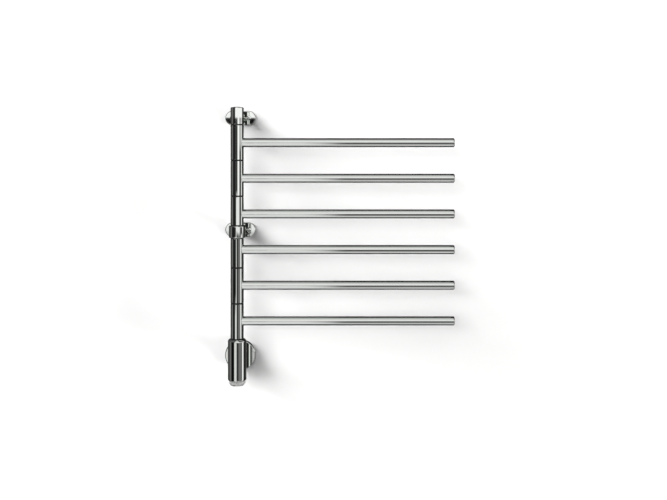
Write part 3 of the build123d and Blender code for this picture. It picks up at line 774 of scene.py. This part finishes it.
@dataclass
class ControlKnob:
    """The fluted knob under the housing, whose dark mark is not built here."""

    top: float = -46.1 * MM
    height: float = 11.5 * MM
    straight: float = 6.5 * MM
    radius: float = 20.2 * MM
    foot: float = 17.1 * MM
    foot_round: float = 1.6 * MM
    rim: float = 2.6 * MM
    relief: float = 2 * MM
    flutes: int = 40
    flute_radius: float = 0.95 * MM
    faces_per_flute: int = 12

    def build(self) -> None:
        """Grow the fluted knob from its plain turned shape."""
        plain = turn(self.outline(), TurningAxis.post(), self.flutes * self.faces_per_flute)
        piece = FluteTree().grow(
            "knob_skirt",
            {
                "Flutes": self.flutes,
                "Flute radius": self.flute_radius,
                "Outer radius": self.radius,
                "Low": self.top - self.height + self.foot_round,
                "Finish": Slot.KNOB.value.material(),
            },
            plain,
        )
        piece.data.polygons.foreach_set("use_smooth", [True] * len(piece.data.polygons))
        piece.data.set_sharp_from_angle(angle=math.radians(38))
        dress(piece, "knob", "knob_chrome", "control_knob")

    def outline(self) -> Outline:
        """Return the knob's outline from the middle of its foot to the middle of its relief."""
        low = self.top - self.height
        shoulder = self.top - self.straight
        points = [(0, low), (self.foot * 0.5, low)]
        points += rounded_corner((self.foot - self.foot_round, low + self.foot_round), self.foot_round, -90, 6)
        for step in range(1, 5):
            share = step / 4
            points.append(
                (
                    self.foot + (self.radius - self.foot) * share,
                    low + self.foot_round + (shoulder - low - self.foot_round) * share,
                )
            )
        points += rounded_corner((self.radius - 0.5 * MM, self.top - 0.5 * MM), 0.5 * MM, 0, 4)
        inner = self.radius - self.rim
        points += [(inner, self.top), (inner, self.top - self.relief), (0, self.top - self.relief)]
        return points


class FluteTree(GeometryTree):
    """Rule of the flutes: round grooves at even steps about the post, pressed into a plain skirt."""

    def __init__(self) -> None:
        """Build the tree."""
        sizes = {"Flutes": int, "Flute radius": float, "Outer radius": float, "Low": float}
        super().__init__("knob_flutes", sizes | {"Finish": bpy.types.Material})
        here = self.value("GeometryNodeInputPosition")
        split = self.node("ShaderNodeSeparateXYZ", {}, {0: here})
        across = Channel(self, split.outputs["X"])
        depth = Channel(self, split.outputs["Y"]) + Layout.standoff
        radius = (across * across + depth * depth).curve("SQRT")
        angle = self.value("ShaderNodeMath", {"operation": "ARCTAN2"}, {0: depth, 1: across})
        step = math.tau / self.size("Flutes").at_least(1)
        phase = self.value("ShaderNodeMath", {"operation": "PINGPONG"}, {0: angle, 1: step / 2})
        side = phase.curve("SINE") * self.size("Outer radius")
        groove = self.size("Flute radius")
        room = (groove * groove - side * side).at_least(0).curve("SQRT")
        wall = self.size("Outer radius") - room
        shift = self.pressed(wall, radius)
        unit = 1 / radius.at_least(1e-6)
        offset = self.value("ShaderNodeCombineXYZ", {}, {"X": across * unit * shift, "Y": depth * unit * shift})
        skin = self.start.outputs["Geometry"]
        self.close(self.value("GeometryNodeSetPosition", {}, {"Geometry": skin, "Offset": offset}))

    def pressed(self, wall: Channel, radius: Channel) -> Channel:
        """Return how far a point of the skirt moves inwards, at most to the groove's wall."""
        return 0 - (radius - wall).at_least(0)


class ScrewTree(GeometryTree):
    """Rule of a wall screw's thread: one ridge that follows a helix round the shank, at each screw's seat."""

    def __init__(self) -> None:
        """Build the tree."""
        sizes = {"Turns": float, "Thread length": float, "Thread radius": float, "Ridge": float}
        super().__init__("wall_screw_threads", sizes | {"Finish": bpy.types.Material})
        helix = self.value(
            "GeometryNodeCurveSpiral",
            {},
            {
                "Resolution": 24,
                "Rotations": self.size("Turns"),
                "Start Radius": self.size("Thread radius") - self.size("Ridge"),
                "End Radius": self.size("Thread radius") - self.size("Ridge"),
                "Height": self.size("Thread length"),
            },
        )
        ridge = self.value("GeometryNodeCurvePrimitiveCircle", {}, {"Resolution": 4, "Radius": self.size("Ridge")})
        thread = self.value("GeometryNodeCurveToMesh", {}, {"Curve": helix, "Profile Curve": ridge, "Fill Caps": True})
        seats = self.start.outputs["Geometry"]
        into_wall = self.value("FunctionNodeEulerToRotation", {}, {0: (-math.pi / 2, 0, 0)})
        placed = self.value(
            "GeometryNodeInstanceOnPoints", {}, {"Points": seats, "Instance": thread, "Rotation": into_wall}
        )
        self.close(placed)


@dataclass
class WallScrews:
    """Seven raised countersunk screws with crossed recesses, and threads that run into the wall."""

    head_radius: float = 6 * MM
    neck_radius: float = 2.75 * MM
    core_radius: float = 1.9 * MM
    thread_radius: float = 2.4 * MM
    ridge: float = 0.45 * MM
    dome: float = 1.1 * MM
    wall_length: float = 34 * MM
    point: float = 6 * MM
    pitch: float = 1.6 * MM
    seat_gap: float = 0.25 * MM
    seats: list[Point] = field(default_factory=list)

    def __post_init__(self) -> None:
        """Work out the seats: two in each flange and three in the wall plate."""
        for height in (Layout.top_arm_height, Layout.collar_height):
            for side in (-1, 1):
                self.seats.append((side * 20.5 * MM, 6 * MM, height))
        for turn_ in (90, 210, 330):
            angle = math.radians(turn_)
            self.seats.append((25 * MM * math.cos(angle), 4 * MM, 25 * MM * math.sin(angle)))

    def build(self) -> None:
        """Join the turned screws and their threads into one piece."""
        base = bpy.data.meshes.new("screw_seats")
        base.from_pydata([(x, self.point * 0.4, z) for x, _, z in self.seats], [], [])
        length = self.wall_length - self.point
        piece = ScrewTree().grow(
            "wall_screw_set",
            {
                "Turns": length / self.pitch,
                "Thread length": length,
                "Thread radius": self.thread_radius,
                "Ridge": self.ridge,
                "Finish": Slot.ZINC.value.material(),
            },
            base,
        )
        joined = bmesh.new()
        joined.from_mesh(piece.data)
        for across, face, height in self.seats:
            screw = self.screw(across, face, height)
            joined.from_mesh(screw)
        mesh = smooth_mesh(joined, 30)
        mesh.materials.append(Slot.ZINC.value.material())
        mesh.materials.append(Slot.CHROME.value.material())
        head_line = -0.0035
        for face_ in mesh.polygons:
            face_.material_index = 1 if face_.center.y < head_line else 0
        piece.data = mesh
        dress(piece, "fixed_frame", "zinc_steel", "wall_screws")

    def screw(self, across: float, face: float, height: float) -> bpy.types.Mesh:
        """Return one turned screw with its crossed recess cut in."""
        head_top = face - self.seat_gap
        axis = TurningAxis(Vector((across, 0, height)), Vector((0, -1, 0)))
        outline = [(0, -self.wall_length), (self.core_radius, self.point - self.wall_length), (self.core_radius, 0)]
        outline += [(self.neck_radius, 0), (self.neck_radius, head_top - self.head_radius + self.neck_radius)]
        outline += [(self.head_radius, head_top)]
        outline += dome_points(self.head_radius, head_top, self.dome, 10)
        mesh = turn(outline, axis, 64)
        return self.cut_recess(mesh, across, head_top + self.dome, height)

    def cut_recess(self, mesh: bpy.types.Mesh, across: float, crown: float, height: float) -> bpy.types.Mesh:
        """Cut the crossed recess into a screw's head and return the new mesh."""
        screw = bpy.data.objects.new("screw", mesh)
        cutter_mesh = self.cross(across, crown, height)
        cutter = bpy.data.objects.new("recess", cutter_mesh)
        for item in (screw, cutter):
            bpy.context.scene.collection.objects.link(item)
        cut = screw.modifiers.new("recess", "BOOLEAN")
        cut.operation, cut.solver, cut.object = "DIFFERENCE", "EXACT", cutter
        bpy.context.view_layer.update()
        depsgraph = bpy.context.evaluated_depsgraph_get()
        result = bpy.data.meshes.new_from_object(screw.evaluated_get(depsgraph), depsgraph=depsgraph)
        for item in (screw, cutter):
            bpy.data.objects.remove(item)
        return result

    @staticmethod
    def cross(across: float, crown: float, height: float) -> bpy.types.Mesh:
        """Return the recess as a tapered cross that ends in a blunt point."""
        shape = bmesh.new()
        arm, half, floor = 3.3 * MM, 0.75 * MM, 0.45
        outline = []
        for quarter in range(4):
            turn_ = math.radians(45 + 90 * quarter)
            ahead = Vector((math.cos(turn_), math.sin(turn_)))
            aside = Vector((-ahead.y, ahead.x))
            outline += [ahead * half + aside * -half, ahead * arm + aside * -half, ahead * arm + aside * half]
        rings = []
        for depth, share in ((crown + 0.4 * MM, 1.0), (crown - 2.2 * MM, floor)):
            ring = [Vector((across + p.x * share, -depth, height + p.y * share)) for p in outline]
            rings.append([shape.verts.new(p) for p in ring])
        shape.faces.new(rings[0])
        shape.faces.new(list(reversed(rings[1])))
        for index in range(len(outline)):
            ahead_ = (index + 1) % len(outline)
            shape.faces.new([rings[0][index], rings[1][index], rings[1][ahead_], rings[0][ahead_]])
        bmesh.ops.recalc_face_normals(shape, faces=shape.faces)
        mesh = bpy.data.meshes.new("recess")
        shape.to_mesh(mesh)
        shape.free()
        return mesh


@dataclass
class CarriedNodes:
    """CAD nodes that keep their own shape and get their finish here."""

    nodes: dict[str, bpy.types.Object]

    def dress(self) -> None:
        """Put the finish of its slot on every node that is still shown."""
        for name, node in self.nodes.items():
            if node.hide_render:
                continue
            slot = node.data.materials[0].name.split(".")[0]
            node.material_slots[0].material = SLOT_NAMES[slot].value.material()
            LOG.info("%s carried over with finish %s", name, slot)


# Studio


@dataclass(frozen=True)
class Panel:
    """One soft-edged card of the studio, by the directions that it covers from the rail, in degrees.

    Azimuth 0 is straight out into the room and 90 is along the bars. Soft is the width of its upright edges, and
    fade that of its level ones.
    """

    name: str
    azimuth: tuple[float, float]
    elevation: tuple[float, float]
    level: float
    soft: float = 4.0
    fade: float = 0.6


@dataclass(frozen=True)
class SoftLamp:
    """A lamp far off that lights evenly: its direction from the rail in degrees, its width and its strength."""

    name: str
    azimuth: float
    elevation: float
    width: float
    strength: float


@dataclass
class Studio:
    """The room round the rail: cards seen in the metal, soft lamps, a white wall and a pale floor."""

    room_level: float = 0.04
    ambient: float = 0.03
    floor_height: float = -1.5
    panels: tuple[Panel, ...] = (
        # The wall as the metal sees it: painted shade, far darker than the white wall and darkest to the right
        Panel("wall to the left, painted shade", (-181, -92), (-90, 90), 0.075, 8),
        Panel("wall to the right, painted shade", (103, 181), (-90, 90), 0.02, 6),
        Panel("left light strip", (-94, -73), (-90, 90), 0.17, 6),
        Panel("left black flag", (-68, -28), (-90, 3.79), 0.012, 6, 0.2),
        Panel("left black flag, low part", (-66, -32), (-90, -7), 0.004, 6, 2),
        Panel("dark room behind the camera", (-28, -12), (-2.6, 3.79), 0.05, 5, 0.2),
        Panel("dark room, middle", (-12, 8), (-1.5, 3.79), 0.09, 5, 0.2),
        Panel("camera", (-9.5, -3.5), (-1.5, 3.8), 0.008, 0.3, 0.06),
        Panel("window card", (14, 45), (-4.1, 4), 1, 5),
        Panel("window card, low part", (-11, 42), (-4.1, -1.4), 0.86, 4),
        Panel("window side", (45, 62), (-4.1, 3.8), 0.14, 4),
        Panel("window side, high part", (45, 76), (1.8, 3.8), 0.52, 5),
        Panel("right light strip", (80, 99), (-4.1, 4), 0.86, 5),
        Panel("low dark front", (-2, 24), (-28, -4.1), 0.035, 3, 0.4),
        Panel("low grey front", (-2, 24), (-60, -28), 0.27, 3, 4),
        Panel("low grey card", (24, 62), (-60, -4.1), 0.16, 6, 0.4),
        Panel("low side card", (61, 81), (-11, -4.1), 0.9, 5, 0.2),
        Panel("low side card, outer part", (81, 98), (-11, -4.1), 0.3, 5, 0.2),
        Panel("side card at the housing", (70, 91), (-60, -11), 0.97, 6, 0.2),
        Panel("low front strip", (-13, -1), (-60, -4.1), 0.68, 3, 0.4),
        Panel("low front strip, wide part", (-30, -1), (-60, -8.8), 0.72, 4, 1.5),
        Panel("grey edge by the camera", (-6.1, -5.5), (-14.5, -10), 0.16, 0.1, 0.4),
        Panel("light edge by the camera", (-5.5, -5.3), (-14.5, -10), 0.5, 0.06, 0.4),
        Panel("grey edge, outer part", (-5.3, -4.6), (-14.5, -10), 0.22, 0.1, 0.4),
        Panel("floor glow", (-104, 104), (-81, -58), 0.78, 6, 4),
        Panel("top card", (-28, 104), (3.8, 18), 1, 3, 0.06),
        Panel("high side light", (-104, 104), (18, 60), 0.1, 8, 10),
        Panel("high light, lower part", (-20, 26), (18, 46), 0.86, 8, 10),
        Panel("high light, upper part", (-26, 32), (46, 77), 0.62, 8, 12),
        # The wall below the rail as the metal sees it: painted shade, darker than the white wall
        Panel("wall below", (104, 181), (-90, -30), 0.05, 4, 4),
        Panel("wall below, left", (-181, -104), (-90, -30), 0.05, 4, 4),
        Panel("ceiling", (-181, 181), (78, 91), 0.03, 6, 4),
        Panel("floor under the rail", (-181, 181), (-91, -80), 0.015, 6, 3),
        Panel("rear card, right half", (150, 181), (-32, 2), 0.35, 6, 3),
        Panel("rear card, left half", (-181, -150), (-32, 2), 0.35, 6, 3),
    )
    lamps: tuple[SoftLamp, ...] = (
        SoftLamp("key_lamp", -27, 10, 30, 1.27),
        SoftLamp("second_key_lamp", -45, 20, 18, 0.59),
        SoftLamp("left_lamp", -65, 29, 18, 0.95),
        SoftLamp("left_rim_lamp", -85, 25, 18, 3.9),
        SoftLamp("left_high_rim_lamp", -85, 45, 18, 5.7),
        SoftLamp("top_lamp", -10, 40, 18, 0.3),
        SoftLamp("right_low_lamp", 80, -20, 18, 4.2),
        SoftLamp("right_high_lamp", 80, 40, 18, 2.0),
    )

    def build(self) -> None:
        """Make the world, the wall, the floor and the lamps."""
        self.build_world()
        self.build_wall()
        self.build_floor()
        self.build_lamps()

    def build_world(self) -> None:
        """Show white to the camera, the cards to metal and glass seen at first hand, and an even light to the rest."""
        world = bpy.data.worlds.new("studio")
        world.use_nodes = True
        bpy.context.scene.world = world
        world.cycles.sampling_method = "NONE"
        graph = NodeGraph(world.node_tree)
        path = graph.node("ShaderNodeLightPath")
        camera = Channel(graph, path.outputs["Is Camera Ray"])
        metal = Channel(graph, path.outputs["Is Glossy Ray"]) + Channel(graph, path.outputs["Is Transmission Ray"])
        metal = metal.within_one() * (1 - Channel(graph, path.outputs["Diffuse Depth"]).within_one())
        tone = self.tone(graph)
        strength = camera + (1 - camera) * (metal * tone + (1 - metal) * self.ambient)
        shown = graph.value("ShaderNodeBackground", {}, {"Color": (1, 1, 1, 1), "Strength": strength})
        graph.node("ShaderNodeOutputWorld", {}, {"Surface": shown})

    def tone(self, graph: NodeGraph) -> Channel:
        """Return the studio's brightness by direction, each card laid over the ones before it."""
        split = graph.node("ShaderNodeSeparateXYZ", {}, {0: graph.value("ShaderNodeTexCoord", output="Generated")})
        across, depth, up = (Channel(graph, split.outputs[axis]) for axis in "XYZ")
        turned = graph.value("ShaderNodeMath", {"operation": "ARCTAN2"}, {0: across, 1: 0 - depth})
        azimuth = turned * math.degrees(1)
        elevation = up.curve("ARCSINE") * math.degrees(1)
        tone: Channel | float = self.room_level
        for panel in self.panels:
            mask = self.edge(azimuth - panel.azimuth[0], panel.soft) * self.edge(panel.azimuth[1] - azimuth, panel.soft)
            mask = mask * self.edge(elevation - panel.elevation[0], panel.fade)
            mask = mask * self.edge(panel.elevation[1] - elevation, panel.fade)
            tone = tone + mask * (panel.level - tone)
        return tone

    @staticmethod
    def edge(distance: Channel, soft: float) -> Channel:
        """Return 0 outside and 1 inside a card's edge, with a ramp as wide as its softness."""
        return (distance / soft + 0.5).within_one()

    def build_wall(self) -> None:
        """Put up the white wall behind the rail."""
        low = self.floor_height
        corners = [(-1.1, 0, low), (1.6, 0, low), (1.6, 0, 1.35), (-1.1, 0, 1.35)]
        self.sheet("wall", corners, Backdrop("white_wall_paint", (0.97, 0.967, 0.963), 0.9, 0.0))

    def build_floor(self) -> None:
        """Lay the pale floor below the rail. It throws no light back up at the wall."""
        low = self.floor_height
        corners = [(-1.1, -1.4, low), (1.6, -1.4, low), (1.6, 0, low), (-1.1, 0, low)]
        floor = self.sheet("floor", corners, Backdrop("pale_floor_paint", (0.9, 0.9, 0.89), 0.85, 0.3))
        floor.visible_diffuse = False

    @staticmethod
    def sheet(name: str, corners: list[Point], finish: Backdrop) -> bpy.types.Object:
        """Make a flat stage piece from corners counted so that its front faces the room, and return it."""
        mesh = bpy.data.meshes.new(name)
        mesh.from_pydata(corners, [], [(0, 1, 2, 3)])
        piece = put_in_scene(name, mesh, finish)
        return piece

    def build_lamps(self) -> None:
        """Hang the soft lamps, which metal doesn't show: it mirrors the cards."""
        for lamp in self.lamps:
            data = bpy.data.lights.new(lamp.name, "SUN")
            data.energy, data.angle = lamp.strength, math.radians(lamp.width)
            hung = bpy.data.objects.new(lamp.name, data)
            turned, raised = math.radians(lamp.azimuth), math.radians(lamp.elevation)
            level = math.cos(raised)
            towards = Vector((math.sin(turned) * level, -math.cos(turned) * level, math.sin(raised)))
            hung.location = towards * 3
            hung.rotation_euler = towards.to_track_quat("Z", "Y").to_euler()
            hung.visible_glossy = False
            bpy.context.scene.collection.objects.link(hung)


@dataclass
class PhotoCamera:
    """The camera at the photograph's place, with its picture plane parallel to the wall."""

    place: Point = (0.2352, -2.133, 0.4574)
    focal_pixels: float = 841.11
    picture_width: int = 667
    sensor: float = 36.0
    shift: float = -0.1139

    def build(self) -> None:
        """Set the camera up."""
        data = bpy.data.cameras.new("photo_camera")
        data.sensor_width = self.sensor
        data.lens = self.focal_pixels * self.sensor / self.picture_width
        data.shift_y = self.shift
        data.clip_start, data.clip_end = 0.05, 50
        camera = bpy.data.objects.new("photo_camera", data)
        camera.location = self.place
        camera.rotation_euler = (math.radians(90), 0, 0)
        bpy.context.scene.collection.objects.link(camera)
        bpy.context.scene.camera = camera


def arm_ends() -> list[tuple[float, float]]:
    """Return the lower and upper end of each sleeve, read from the CAD frame."""
    ends = []
    for number in range(1, len(Layout.bar_heights) + 1):
        low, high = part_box(f"hub_{number}")
        ends.append((low.z, high.z))
    return ends


def main() -> None:
    """Build the rail, its studio and its camera."""
    logging.basicConfig(level=logging.INFO, format="%(message)s")
    bpy.context.scene.view_settings.view_transform = "Standard"
    for number, (low, high) in enumerate(arm_ends(), start=1):
        SwingArm(number, low, high).build()
    ControlKnob().build()
    WallScrews().build()
    CarriedNodes(frame["nodes"]).dress()
    Studio().build()
    PhotoCamera().build()


if __name__ == "__main__":
    main()
